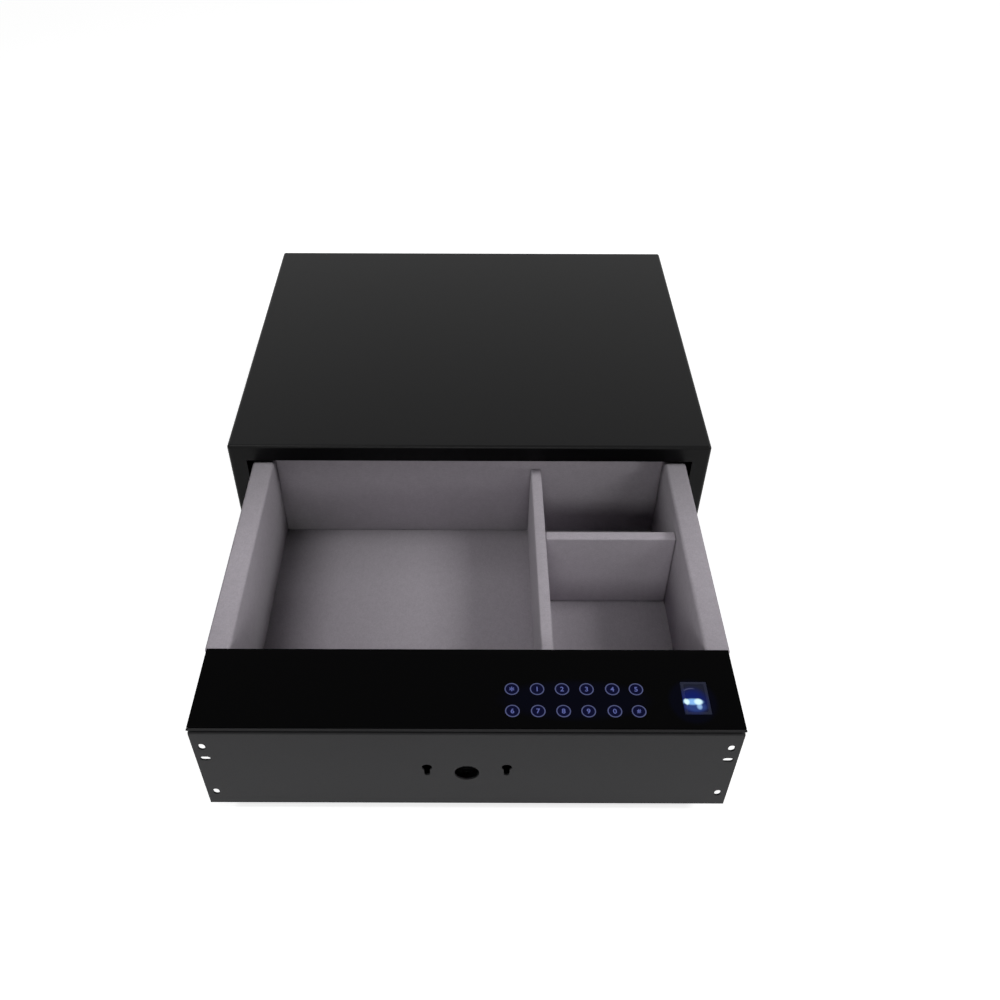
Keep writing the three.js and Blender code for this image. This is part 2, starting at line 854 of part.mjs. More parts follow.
// Felt lining and dividers
function floorLiner() {
  const half = tubInner - fitGap;
  return block(-half, half, liningFront, tubRearInner - fitGap, liningFloor, storageFloor);
}

function sideLiner() {
  const path = [
    [wallOuter, drawerTop - feltSkirt],
    [wallOuter, drawerTop],
    [storageHalfWidth, drawerTop],
    [storageHalfWidth, storageFloor + fitGap],
  ];
  const wrap = sweepY(foldedSheet(path, feltThickness, feltBend), housingDepth + fitGap, drawerLength);
  const rearEnd = drawerLength + overrun;
  const rearWall = block(0, tubInner, tubRearInner - fitGap, rearEnd, 0, flangeTop + fitGap);
  return wrap.subtract(rearWall);
}

function rearLiner() {
  const half = storageHalfWidth - fitGap;
  const path = [
    [drawerLength, drawerTop],
    [storageRear, drawerTop],
    [storageRear, storageFloor + fitGap],
  ];
  return sweepX(foldedSheet(path, feltThickness, feltBend), -half, half);
}

const longLeft = longDividerOffset - dividerThickness / 2;
const longRight = longDividerOffset + dividerThickness / 2;
const dividerTop = drawerTop - dividerDrop;

function longDivider() {
  return roundedBlock(
    longLeft,
    longRight,
    housingDepth + fitGap,
    storageRear - fitGap,
    storageFloor + fitGap,
    dividerTop,
    dividerRound,
    feltSteps,
  );
}

function crossDivider() {
  return roundedBlock(
    longRight + fitGap,
    storageHalfWidth - fitGap,
    crossDividerSetback - dividerThickness / 2,
    crossDividerSetback + dividerThickness / 2,
    storageFloor + fitGap,
    dividerTop,
    dividerRound,
    feltSteps,
  );
}

// Battery compartment, in the wall between the electronics and the storage
const trayX = -(bracketHalf + tubInner) / 2;
const trayZ = slideMiddle;
const bayLength = batteryLength + batteryNubLength + springRoom;
const bayHeight = 2 * (batteryRadius + fitGap);
const trayHalfWidth = bayLength + trayWall + trayWall / 2;
const trayHalfHeight = bayHeight + trayWall + trayWall / 2;
const bayFloor = housingDepth - bayHeight - fitGap;
const trayFront = bayFloor - trayWall;
const doorHalfWidth = trayHalfWidth + doorMargin;
const rimHalfWidth = doorHalfWidth + fitGap + hingeEar;
const rimHalfHeight = trayHalfHeight + trayRim;
const doorNear = housingDepth + fitGap;
const hingeY = doorNear + hingeBarrelRadius;
const hingeZ = trayZ - trayHalfHeight - hingeRise;
const bayPlaces = [-1, 1].flatMap((column) =>
  [-1, 1].map((row) => [
    trayX + (column * (bayLength + trayWall)) / 2,
    trayZ + (row * (bayHeight + trayWall)) / 2,
  ]),
);

const hingeRod = (radius, x0, x1) => turnedX(rod(radius, x0, x1), hingeY, hingeZ, smallSides);

function aroundTray(halfWidth, halfHeight, y0, y1) {
  return block(trayX - halfWidth, trayX + halfWidth, y0, y1, trayZ - halfHeight, trayZ + halfHeight);
}

function bayBulkhead() {
  const top = coverUnder - fitGap;
  const half = tubInner - fitGap;
  const path = [
    [bulkheadRear - bulkheadFoot, liningFloor],
    [bulkheadRear, liningFloor],
    [bulkheadRear, top],
    [bulkheadRear - bulkheadFoot, top],
  ];
  const wall = sweepX(foldedSheet(path, drawerSheet, drawerBend), -half, half);
  const trayRoom = aroundTray(
    trayHalfWidth + fitGap,
    trayHalfHeight + fitGap,
    bulkheadRear - overrun,
    bulkheadRear + overrun,
  );
  const notchHalf = bracketHalf + doorMargin;
  const footEnd = bulkheadFace - fitGap;
  const bracketRoom = block(-notchHalf, notchHalf, 0, footEnd, 0, liningFloor + overrun);
  return cut(wall, [trayRoom, bracketRoom]);
}

function frontLiner() {
  const half = tubInner - fitGap;
  const top = coverUnder - fitGap;
  const sheet = block(-half, half, liningFront, housingDepth, storageFloor + fitGap, top);
  const rimRoom = aroundTray(
    rimHalfWidth + fitGap,
    rimHalfHeight + fitGap,
    liningFront - overrun,
    housingDepth + overrun,
  );
  return sheet.subtract(rimRoom);
}

function batteryTray() {
  const body = aroundTray(trayHalfWidth, trayHalfHeight, trayFront, housingDepth);
  const rim = aroundTray(rimHalfWidth, rimHalfHeight, liningFront, housingDepth);
  const bays = bayPlaces.map(([x, z]) => {
    const halfX = bayLength / 2;
    const halfZ = bayHeight / 2;
    return block(x - halfX, x + halfX, bayFloor, housingDepth + overrun, z - halfZ, z + halfZ);
  });
  const ears = [-1, 1].flatMap((side) => {
    const near = trayX + side * (doorHalfWidth + fitGap);
    const far = near + side * hingeEar;
    const [x0, x1] = [Math.min(near, far), Math.max(near, far)];
    const [z0, z1] = [hingeZ - hingeBarrelRadius, hingeZ + hingeBarrelRadius];
    return [block(x0, x1, liningFront, hingeY, z0, z1), hingeRod(hingeBarrelRadius, x0, x1)];
  });
  const wide = rimHalfWidth + overrun;
  const pinHole = hingeRod(hingePinRadius + fitGap, trayX - wide, trayX + wide);
  return cut(joined([body, rim, ...ears]), [...bays, pinHole]);
}

function battery([x, z]) {
  const y = bayFloor + fitGap + batteryRadius;
  const left = x - bayLength / 2 + springRoom / 2;
  const right = left + batteryLength;
  const profile = [
    [0, left],
    [batteryRadius, left],
    [batteryRadius, right],
    [batteryNubRadius, right],
    [batteryNubRadius, right + batteryNubLength],
    [0, right + batteryNubLength],
  ];
  return turnedX(profile, y, z, smallSides);
}

function batteryDoor() {
  const top = trayZ + trayHalfHeight + doorMargin;
  const [x0, x1] = [trayX - doorHalfWidth, trayX + doorHalfWidth];
  const leaf = block(x0, x1, doorNear, doorNear + doorSheet, hingeZ, top);
  const barrel = hingeRod(hingeBarrelRadius, x0, x1);
  const notchHalf = doorNotch / 2;
  const notch = block(
    trayX - notchHalf,
    trayX + notchHalf,
    0,
    doorNear + overrun,
    top - doorNotchDepth,
    top + overrun,
  );
  const pinHole = hingeRod(hingePinRadius + fitGap, x0 - overrun, x1 + overrun);
  return cut(joined([leaf, barrel]), [notch, pinHole]);
}

const batteryDoorPin = () => hingeRod(hingePinRadius, trayX - rimHalfWidth, trayX + rimHalfWidth);

// Lock: the key's crank or the motor's pinion moves the carrier, and the bolt drops behind the
// cabinet's front lip
const lockFace = lockBracketSetback - fitGap - lockHeadThickness;
const carrierBack = boltSetback - boltToCarrier;
const carrierFront = carrierBack - carrierThickness;
const crankBack = carrierFront - crankWall;
const crankFront = crankBack - crankThickness;
const barrelEnd = crankFront - 2 * fitGap;
const crankRise = crankRadius * Math.sin(crankTurn / 2);
const boltStroke = 2 * crankRise;
const slotZ = lockCentre + crankRise;
const bracketFloorTop = liningFloor + lockSheet;
const rackPitchX = bracketHalf + carrierEar;
const pinionRadius = (gearModule * pinionTeeth) / 2;
const pinionX = rackPitchX + pinionRadius + meshPlay;
const tabBack = carrierFront - 2 * fitGap;
const tabFront = tabBack - lockSheet;
const motorBack = tabFront - fitGap;
const motorMiddle = (motorSetback + motorBack) / 2;
const boltTip = tubFloor - drawerSheet + boltAboveUnderside;
const boltShoulder = boltTip + boltBodyLength;
const footLow = boltShoulder + fitGap;

function lockBracket() {
  const cheekTop = liningFloor + cheekHeight;
  const cheekFront = lockBracketSetback + lockSheet + 2 * fitGap;
  const across = [
    [-bracketHalf, cheekTop],
    [-bracketHalf, liningFloor],
    [bracketHalf, liningFloor],
    [bracketHalf, cheekTop],
  ];
  const along = [
    [lockBracketSetback, liningFloor + lockUprightHeight],
    [lockBracketSetback, liningFloor],
    [lockBracketRear, liningFloor],
  ];
  const cheekRear = carrierBack + cheekMargin;
  const cheeks = sweepY(foldedSheet(across, lockSheet, drawerBend), cheekFront, cheekRear);
  const uprightHalf = bracketHalf - lockSheet;
  const face = sweepX(foldedSheet(along, lockSheet, drawerBend), -uprightHalf, uprightHalf);
  const tab = block(
    bracketHalf - lockSheet,
    pinionX + motorTab / 2,
    tabFront,
    tabBack,
    lockCentre - motorTab / 2,
    lockCentre + motorTab / 2,
  );
  const guideTop = bracketFloorTop + boltGuideHeight;
  const guideBar = rod(boltRoomRadius + boltGuideWall, liningFloor, guideTop);
  const guide = turnedZ(guideBar, 0, boltSetback, smallSides);
  const barrelRoom = rod(lockBarrelRadius + fitGap, 0, lockBracketSetback + overrun);
  const barrelHole = turnedY(barrelRoom, 0, lockCentre, smallSides);
  const boltHole = turnedZ(rod(boltRoomRadius, 0, footLow), 0, boltSetback, smallSides);
  const bossRoom = rod(motorBossRadius + fitGap, 0, carrierFront);
  const bossHole = turnedY(bossRoom, pinionX, lockCentre, smallSides);
  const wide = bracketHalf + fitGap;
  const earSlots = block(
    -wide,
    wide,
    carrierFront - fitGap,
    carrierBack + fitGap,
    slotZ - carrierEarLow - boltStroke - 2 * fitGap,
    slotZ + carrierEarLow + fitGap,
  );
  return cut(joined([cheeks, face, tab, guide]), [barrelHole, boltHole, bossHole, earSlots]);
}

function keyLockBody() {
  const profile = [
    [0, lockFace],
    [lockHeadRadius, lockFace],
    [lockHeadRadius, lockFace + lockHeadThickness],
    [lockBarrelRadius, lockFace + lockHeadThickness],
    [lockBarrelRadius, barrelEnd],
    [0, barrelEnd],
  ];
  const bore = rod(plugRadius + fitGap, lockFace - overrun, barrelEnd + overrun);
  return turnedY(profile, 0, lockCentre).subtract(turnedY(bore, 0, lockCentre));
}

function keyLockNut() {
  const front = lockBracketSetback + lockSheet + fitGap;
  const across = nutFlats / 2 / Math.cos(Math.PI / hexSides);
  const hex = turnedY(rod(across, front, front + nutThickness), 0, lockCentre, hexSides);
  const bore = rod(lockBarrelRadius + fitGap, 0, barrelEnd);
  return hex.subtract(turnedY(bore, 0, lockCentre, smallSides));
}

// The plug and the crank are drawn about their own axis, in the locked position of the key
function keyLockPlug() {
  const face = lockFace + plugRecess;
  const shoulder = barrelEnd + fitGap;
  const profile = [
    [0, face],
    [plugRadius, face],
    [plugRadius, shoulder],
    [spigotRadius, shoulder],
    [spigotRadius, crankBack + fitGap],
    [0, crankBack + fitGap],
  ];
  const keyway = block(
    -keySlotWidth / 2,
    keySlotWidth / 2,
    face - overrun,
    face + keySlotDepth,
    -keySlotHeight / 2,
    keySlotHeight / 2,
  );
  return turnedY(profile, 0, 0).subtract(keyway);
}

function keyCrank() {
  const half = crankPinRadius + crankWall;
  const hub = turnedY(rod(spigotRadius + crankWall, crankFront, crankBack), 0, 0, smallSides);
  const end = turnedY(rod(half, crankFront, crankBack), crankRadius, 0, smallSides);
  const arm = block(0, crankRadius, crankFront, crankBack, -half, half);
  const pinBack = crankBack + crankPinLength;
  const pin = turnedY(rod(crankPinRadius, crankFront, pinBack), crankRadius, 0, smallSides);
  const bore = rod(spigotRadius + fitGap, crankFront - overrun, crankBack + overrun);
  const hole = turnedY(bore, 0, 0, smallSides);
  return joined([cut(joined([hub, end, arm]), [hole]), pin]);
}

// The rack's teeth stand on its right-hand edge, with one level with the pinion's axis
function rackTeeth(low, high) {
  const pitch = Math.PI * gearModule;
  const tip = addendumShare * gearModule;
  const root = dedendumShare * gearModule;
  const half = pitch / 4 - toothPlay;
  const tipHalf = half - tip * Math.tan(pressureAngle);
  const rootHalf = half + root * Math.tan(pressureAngle);
  const shape = new THREE.Shape();
  shape.moveTo(rackPitchX - root - gearModule, low);
  shape.lineTo(rackPitchX - root, low);
  const first = Math.ceil((low + rootHalf - lockCentre) / pitch);
  const last = Math.floor((high - rootHalf - lockCentre) / pitch);
  for (let tooth = first; tooth <= last; tooth += 1) {
    const z = lockCentre + tooth * pitch;
    shape.lineTo(rackPitchX - root, z - rootHalf);
    shape.lineTo(rackPitchX + tip, z - tipHalf);
    shape.lineTo(rackPitchX + tip, z + tipHalf);
    shape.lineTo(rackPitchX - root, z + rootHalf);
  }
  shape.lineTo(rackPitchX - root, high);
  shape.lineTo(rackPitchX - root - gearModule, high);
  shape.closePath();
  return sweepY(shape, carrierFront, carrierBack);
}

function boltCarrier() {
  const half = bracketHalf - lockSheet - fitGap;
  const earLow = slotZ - carrierEarLow;
  const earHigh = slotZ + carrierEarLow;
  const plate = block(-half, half, carrierFront, carrierBack, footLow, slotZ + carrierTop);
  const ears = block(
    -rackPitchX,
    rackPitchX - dedendumShare * gearModule,
    carrierFront,
    carrierBack,
    earLow,
    earHigh,
  );
  const footHalf = carrierFootWidth / 2;
  const footBack = boltSetback + boltRadius + fitGap;
  const foot = block(-footHalf, footHalf, carrierFront, footBack, footLow, footLow + carrierFoot);
  const nearX = crankRadius * Math.cos(crankTurn / 2) - crankPinRadius - slotPlay;
  const farX = crankRadius + crankPinRadius + slotPlay;
  const slot = slotShape((nearX + farX) / 2, slotZ, farX - nearX, 2 * (crankPinRadius + slotPlay));
  const neckHole = turnedZ(rod(boltNeckRadius + fitGap, 0, slotZ), 0, boltSetback, smallSides);
  return cut(joined([plate, ears, rackTeeth(earLow, earHigh), foot]), [
    sweepY(slot, carrierFront - overrun, carrierBack + overrun),
    neckHole,
  ]);
}

function lockBolt() {
  const head = footLow + carrierFoot + fitGap;
  const chamfer = boltRadius - boltNeckRadius;
  const profile = [
    [0, boltTip],
    [boltRadius - chamfer / 2, boltTip],
    [boltRadius, boltTip + chamfer / 2],
    [boltRadius, boltShoulder],
    [boltNeckRadius, boltShoulder],
    [boltNeckRadius, head],
    [boltHeadRadius, head],
    [boltHeadRadius, head + boltHeadHeight],
    [0, head + boltHeadHeight],
  ];
  return turnedZ(profile, 0, boltSetback, smallSides);
}

function gearMotor() {
  const bearing = motorBossRadius - pinionShaftRadius;
  const profile = [
    [0, motorSetback - bearing],
    [motorBossRadius, motorSetback - bearing],
    [motorBossRadius, motorSetback],
    [motorRadius - bearing / 2, motorSetback],
    [motorRadius, motorSetback + bearing / 2],
    [motorRadius, motorBack],
    [motorBossRadius, motorBack],
    [motorBossRadius, tabBack],
    [0, tabBack],
  ];
  const bore = rod(pinionShaftRadius + fitGap, motorMiddle, carrierFront);
  const body = turnedY(profile, pinionX, lockCentre, smallSides);
  return body.subtract(turnedY(bore, pinionX, lockCentre, smallSides));
}

// The pinion and its shaft, drawn about their own axis, with a gap between teeth facing the rack
function drivePinion() {
  const base = pinionRadius * Math.cos(pressureAngle);
  const root = pinionRadius - dedendumShare * gearModule;
  const tip = pinionRadius + addendumShare * gearModule;
  const involute = (angle) => Math.tan(angle) - angle;
  const halfAngle = (radius) =>
    Math.PI / (2 * pinionTeeth) +
    involute(pressureAngle) -
    involute(Math.acos(Math.min(1, base / radius))) -
    toothPlay / radius;
  const flank = [root, base, (base + tip) / 2, tip];
  const shape = new THREE.Shape();
  for (let tooth = 0; tooth < pinionTeeth; tooth += 1) {
    const middle = ((2 * tooth + 1) * Math.PI) / pinionTeeth;
    const rising = flank.map((radius) => [radius, middle - halfAngle(radius)]);
    const falling = [...flank].reverse().map((radius) => [radius, middle + halfAngle(radius)]);
    [...rising, ...falling].forEach(([radius, angle], i) => {
      const place = [radius * Math.cos(angle), radius * Math.sin(angle)];
      if (tooth || i) shape.lineTo(...place);
      else shape.moveTo(...place);
    });
  }
  shape.closePath();
  const shaftBar = rod(pinionShaftRadius, motorMiddle + fitGap, carrierBack + fitGap);
  const shaft = turnedY(shaftBar, 0, 0, smallSides);
  return joined([sweepY(shape, carrierFront, carrierBack), shaft]);
}

function controlBoard() {
  const controlDepth = bulkheadRear - bulkheadFoot - controlRearSpace - controlSetback;
  const x = (pinionX + motorRadius + tubInner) / 2;
  const y = controlSetback + controlDepth / 2;
  const low = liningFloor + controlStandoff;
  const high = low + boardThickness;
  const board = upright(x, y, controlWidth, controlDepth, 0, low, high);
  const posts = [-1, 1].flatMap((sideways) =>
    [-1, 1].map((endways) =>
      turnedZ(
        rod(standoffRadius, liningFloor, high),
        x + sideways * (controlWidth / 2 - standoffInset),
        y + endways * (controlDepth / 2 - standoffInset),
        ballSides,
      ),
    ),
  );
  const chips = [-1, 1].map((side) =>
    upright(x + side * chipSize, y, chipSize, chipSize, 0, high, high + chipHeight),
  );
  const edge = y - controlDepth / 2 + connectorDepth;
  const sockets = [-1, 0, 1].map((place) => {
    const socketX = x + 2 * place * connectorWidth;
    const top = high + connectorHeight;
    return upright(socketX, edge, connectorWidth, connectorDepth, 0, high, top);
  });
  const rear = y + controlDepth / 2 - 2 * capacitorRadius;
  const cans = [
    [-2, capacitorRadius],
    [0, capacitorRadius],
    [2, buzzerRadius],
  ].map(([place, radius]) =>
    turnedZ(rod(radius, high, high + capacitorHeight), x + place * connectorWidth, rear, smallSides),
  );
  return joined([board, ...posts, ...chips, ...sockets, ...cans]);
}

// Assembly
const safe = new THREE.Group();

function groupAt(parent, x, y, z) {
  const group = new THREE.Group();
  group.position.set(x, y, z);
  parent.add(group);
  return group;
}

const frontY = -cabinetDepth / 2;
const cabinet = groupAt(safe, 0, frontY, 0);
const drawer = groupAt(safe, 0, frontY - drawerTravel, 0);

piece(cabinet, "cabinet_wrap", cabinetWrap(), powderCoat);
piece(cabinet, "cabinet_base", cabinetBase(), powderCoat);
piece(cabinet, "cabinet_back", cabinetBack(), powderCoat);

for (const [hand, side] of [
  ["left", -1],
  ["right", 1],
]) {
  const carriedAt = (share) => {
    const group = groupAt(safe, 0, frontY - share * drawerTravel, 0);
    group.scale.x = side;
    return group;
  };
  const fixed = carriedAt(0);
  const moving = carriedAt(1);
  piece(fixed, `${hand}_rail_bracket`, railBracket(), zincPlate);
  piece(fixed, `${hand}_outer_rail`, outerRail(), zincPlate);
  piece(fixed, `${hand}_rail_buffer`, railBuffer(), rubber);
  piece(carriedAt(1 / 4), `${hand}_outer_ball_cage`, outerBallCage(), brightSteel);
  piece(carriedAt(1 / 2), `${hand}_middle_rail`, middleRail(), zincPlate);
  piece(carriedAt(3 / 4), `${hand}_inner_ball_cage`, innerBallCage(), brightSteel);
  piece(moving, `${hand}_inner_rail`, innerRail(), zincPlate);
  ["front", "rear"].forEach((end, i) => {
    piece(fixed, `${hand}_outer_rail_screw_${end}`, outerRailScrew(railScrewPlaces[i]), brightSteel);
    piece(moving, `${hand}_inner_rail_screw_${end}`, innerRailScrew(railScrewPlaces[i]), brightSteel);
  });
  piece(moving, `${hand}_side_liner`, sideLiner(), felt);
}

piece(drawer, "drawer_tub", drawerTub(), powderCoat);
piece(drawer, "tub_front_wall", tubFrontWall(), powderCoat);
piece(drawer, "tub_rear_wall", tubRearWall(), powderCoat);
piece(drawer, "bay_bulkhead", bayBulkhead(), powderCoat);
piece(drawer, "front_plate", frontPlate(), frontCoat);
piece(drawer, "top_cover", topCover(), frontCoat);
piece(drawer, "keypad_panel", keypadPanel(), glossPanel);
piece(drawer, "keypad_board", keypadBoard(), greenBoard);
piece(drawer, "fingerprint_bezel", fingerprintBezel(), blackPlastic);
piece(drawer, "fingerprint_window", fingerprintWindow(), smokedGlass);
piece(drawer, "fingerprint_module", fingerprintModule(), blackPlastic);
piece(drawer, "floor_liner", floorLiner(), felt);
piece(drawer, "rear_liner", rearLiner(), felt);
piece(drawer, "front_liner", frontLiner(), felt);
piece(drawer, "long_divider", longDivider(), felt);
piece(drawer, "cross_divider", crossDivider(), felt);
piece(drawer, "battery_tray", batteryTray(), blackPlastic);
bayPlaces.forEach((place, i) => piece(drawer, `battery_${i + 1}`, battery(place), cellWrap));
piece(drawer, "battery_door", batteryDoor(), blackPlastic);
piece(drawer, "battery_door_pin", batteryDoorPin(), brightSteel);
piece(drawer, "control_board", controlBoard(), greenBoard);
piece(drawer, "lock_bracket", lockBracket(), zincPlate);
piece(drawer, "bolt_carrier", boltCarrier(), zincPlate);
piece(drawer, "lock_bolt", lockBolt(), brightSteel);
piece(drawer, "gear_motor", gearMotor(), brightSteel);
piece(drawer, "key_lock_body", keyLockBody(), blackZinc);
piece(drawer, "key_lock_nut", keyLockNut(), zincPlate);

const keyAxis = groupAt(drawer, 0, 0, lockCentre);
const plugTurn = groupAt(keyAxis, 0, 0, 0);
plugTurn.rotation.y = -crankTurn;
const crankSwing = groupAt(keyAxis, 0, 0, 0);
crankSwing.rotation.y = -crankTurn / 2;
piece(plugTurn, "key_lock_plug", keyLockPlug(), blackZinc);
piece(crankSwing, "key_crank", keyCrank(), zincPlate);
piece(groupAt(drawer, pinionX, 0, lockCentre), "drive_pinion", drivePinion(), brass);

export default safe;
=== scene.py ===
import math

import bmesh
import bpy
from mathutils import Matrix, Vector


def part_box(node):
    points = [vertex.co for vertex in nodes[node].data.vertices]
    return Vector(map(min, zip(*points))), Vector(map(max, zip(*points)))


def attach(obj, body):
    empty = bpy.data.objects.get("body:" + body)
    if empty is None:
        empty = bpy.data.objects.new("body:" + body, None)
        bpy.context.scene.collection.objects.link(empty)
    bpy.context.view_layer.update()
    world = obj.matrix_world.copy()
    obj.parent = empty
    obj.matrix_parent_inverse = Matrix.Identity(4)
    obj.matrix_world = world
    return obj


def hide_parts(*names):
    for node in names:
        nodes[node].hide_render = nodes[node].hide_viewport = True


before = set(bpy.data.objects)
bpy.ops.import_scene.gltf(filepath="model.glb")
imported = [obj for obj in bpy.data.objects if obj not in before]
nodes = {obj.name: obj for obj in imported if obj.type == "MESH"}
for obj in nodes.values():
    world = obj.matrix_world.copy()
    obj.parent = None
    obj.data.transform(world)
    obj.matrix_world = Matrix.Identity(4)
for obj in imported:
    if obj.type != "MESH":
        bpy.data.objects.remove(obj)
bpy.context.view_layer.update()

MM = 0.001
WHITE = (1, 1, 1, 1)
BLACK = (0.0, 0.0, 0.0)

# The camera stands where the photograph was taken, above the open drawer.
CAMERA_PLACE = (6.226 * MM, -882.77 * MM, 710.27 * MM)
CAMERA_YAW = -0.0539
CAMERA_TILT = 47.2536
CAMERA_ROLL = 0.2169
CAMERA_LENS = 35.118
CAMERA_SENSOR = 36.0
CAMERA_SHIFT = (0.02345, -0.000285)
CAMERA_NEAR = 0.02

# Each softbox's place and size in metres, and its watts.
SOFTBOXES = {
    "right_softbox": ((3.0, -0.4, 3.2), (1.5, 1.5), 67.0),
    "left_softbox": ((-0.75, -0.5, 1.75), (0.8, 0.8), 8.4),
    "front_softbox": ((0.0, -3.6, 2.0), (1.2, 0.8), 25.0),
}
SOFTBOX_AIM = (0, -0.25, 0.05)
ROOM_GREY = 0.10
FLOOR_PAINT = (0.86, 0.86, 0.86, 1)
FLOOR_GLOW = 0.72
FLOOR_REACH = 30.0
FLOOR_DROP = 0.5 * MM

# Where the floor keeps its own shade: a middle and a reach, in millimetres, and where it starts to fade.
FLOOR_MIDDLE = (0.0, -150.0)
FLOOR_FADE = (2600.0, 2600.0)
FLOOR_FADE_START = 0.2


def node_middle(node):
    """The middle of a CAD node's outline from above, in millimetres."""
    low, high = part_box(node)
    return (low.x + high.x) / 2 / MM, (low.y + high.y) / 2 / MM


# The touch keys, in millimetres in the part's frame at rest.
PANEL_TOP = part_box("keypad_panel")[1].z / MM
KEYPAD_MIDDLE = (80.2, -451.3)
# The reach of the painted glow about the keys, on the panel.
KEYPAD_GLOW = (62.0, 20.0)
KEY_COLUMNS = (33.6, 52.6, 71.3, 89.7, 109.0, 126.8)
KEY_ROWS = ((-441.5, "*12345"), (-461.2, "67890#"))
KEY_NAMES = {"*": "star", "#": "hash"}
KEY_RADIUS = 5.4
KEY_SIDES = 48
RING_WIDTH = 0.8
PRINT_DEPTH = 0.1
DISC_RISE = 0.02
RING_RISE = 0.03
MARK_RISE = 0.05
MARK_THICKNESS = 0.02
MARK_BOLDNESS = 0.08
MARK_HEIGHT = 5.8
MARK_HEIGHTS = {"*": 9.0, "#": 4.8}

# The light in the fingerprint reader. Middles are millimetres right and back from the reader's middle,
# and reaches are the half sizes of the ovals.
READER_MIDDLE = node_middle("fingerprint_bezel")
BAR = (-2.55, -3.3)
BAR_REACH = (9.2, 3.6)
# How far the bar's painted glow spreads over the panel, in millimetres.
BAR_PAINTED_GLOW_REACH = (20.0, 22.0)
HOT_SPOTS = (((-7.25, -3.3), (2.7, 3.2)), ((1.35, -3.3), (3.9, 3.4)))
BLOOM = (-1.95, -2.7)
BLOOM_REACH = (13.5, 14.5)
LOWER_GLOW = (-1.05, -7.8)
LOWER_REACH = (9.5, 5.5)
PATCH = (1.65, -7.5)
PATCH_REACH = (2.6, 3.4)
FINGER_REST = (-2.15, 0.0)
REST_REACH = (10.2, 9.6)
REST_INSIDE = (9.4, 8.8)
# Where the painted highlight on the finger rest's rim lies, and its reach.
REST_HIGHLIGHT = (-4.35, 8.4)
HIGHLIGHT_REACH = (5.5, 4.0)


class Signal:
    """A number that varies over a surface. Sums and products of signals add Math nodes."""

    def __init__(self, shading, socket):
        self.shading = shading
        self.socket = socket

    def math(self, operation, *terms):
        return self.shading.node("ShaderNodeMath", {"operation": operation}, terms)

    def __add__(self, other):
        return self.math("ADD", self, other)

    def __sub__(self, other):
        return self.math("SUBTRACT", self, other)

    def __rsub__(self, other):
        return self.math("SUBTRACT", other, self)

    def __mul__(self, other):
        return self.math("MULTIPLY", self, other)

    def __truediv__(self, other):
        return self.math("DIVIDE", self, other)

    __radd__ = __add__
    __rmul__ = __mul__

    def squared(self):
        return self * self

    def larger(self, other):
        return self.math("MAXIMUM", self, other)

    def falling(self, start, end):
        """1 where this signal is below start, 0 above end, smooth between."""
        settings = {"interpolation_type": "SMOOTHSTEP"}
        values = {"Value": self, "From Min": start, "From Max": end, "To Min": 1.0, "To Max": 0.0}
        return self.shading.node("ShaderNodeMapRange", settings, values)


class Shading:
    """A shader tree, whose nodes all come from node()."""

    def __init__(self, tree):
        self.tree = tree
        self.place = None

    def feed(self, socket, value):
        if isinstance(value, Signal):
            self.tree.links.new(value.socket, socket)
        else:
            socket.default_value = value

    def node(self, kind, settings=None, values=(), output=0):
        made = self.tree.nodes.new(kind)
        for name, value in (settings or {}).items():
            setattr(made, name, value)
        named = values if isinstance(values, dict) else dict(enumerate(values))
        for key, value in named.items():
            self.feed(made.inputs[key], value)
        return Signal(self, made.outputs[output])

    def mixed_shader(self, share, first, second):
        return self.node("ShaderNodeMixShader", None, (share, first, second))

    def background_rays(self):
        """1 for rays from the camera, off gloss or through glass, which see a white background."""
        camera_ray = self.node("ShaderNodeLightPath", output="Is Camera Ray")
        glossy_ray = self.node("ShaderNodeLightPath", output="Is Glossy Ray")
        glass_ray = self.node("ShaderNodeLightPath", output="Is Transmission Ray")
        return camera_ray.larger(glossy_ray).larger(glass_ray)

    def position(self):
        if self.place is None:
            self.place = self.node("ShaderNodeTexCoord", output="Object")
        return self.place

    def axis(self, index):
        return self.node("ShaderNodeSeparateXYZ", None, [self.position()], index)


class Finish(Shading):
    """A material: its shader's constants, and the nodes for what varies over the surface."""

    def __init__(self, name, **constants):
        self.material = bpy.data.materials.new(name)
        self.material.use_nodes = True
        super().__init__(self.material.node_tree)
        self.shader = self.tree.nodes["Principled BSDF"]
        for socket, value in constants.items():
            self.vary(socket, value)

    def vary(self, socket, value):
        self.feed(self.shader.inputs[socket.replace("_", " ")], value)

    def grain(self, scale, detail=2.0, roughness=0.5, stretch=(1, 1, 1)):
        """Noise from 0 to 1, with about `scale` spots a metre."""
        stretched = self.node("ShaderNodeMapping", None, {"Vector": self.position(), "Scale": stretch})
        values = {"Vector": stretched, "Scale": scale, "Detail": detail, "Roughness": roughness}
        return self.node("ShaderNodeTexNoise", None, values)

    def colour(self, share, dark, light):
        return self.mixed(share, (*dark, 1), (*light, 1))

    def mixed(self, share, first, second):
        return self.node("ShaderNodeMix", {"data_type": "RGBA"}, {0: share, 6: first, 7: second}, 2)

    def relief(self, height, strength, depth):
        values = {"Height": height, "Strength": strength, "Distance": depth}
        self.vary("Normal", self.node("ShaderNodeBump", None, values))


def powder_coat(name, colour, roughness, gloss):
    """Satin powder coat: an orange peel of about a millimetre, and a slight cloudiness."""
    finish = Finish(name, Specular_IOR_Level=gloss)
    cloud = finish.grain(14, 3)
    peel = finish.grain(950, 2, 0.6)
    dark = [c * 0.9 for c in colour]
    light = [c * 1.12 for c in colour]
    finish.vary("Base Color", finish.colour(cloud, dark, light))
    finish.vary("Roughness", peel * 0.10 + (roughness - 0.05))
    finish.relief(peel, 0.22, 0.12 * MM)
    return finish.material


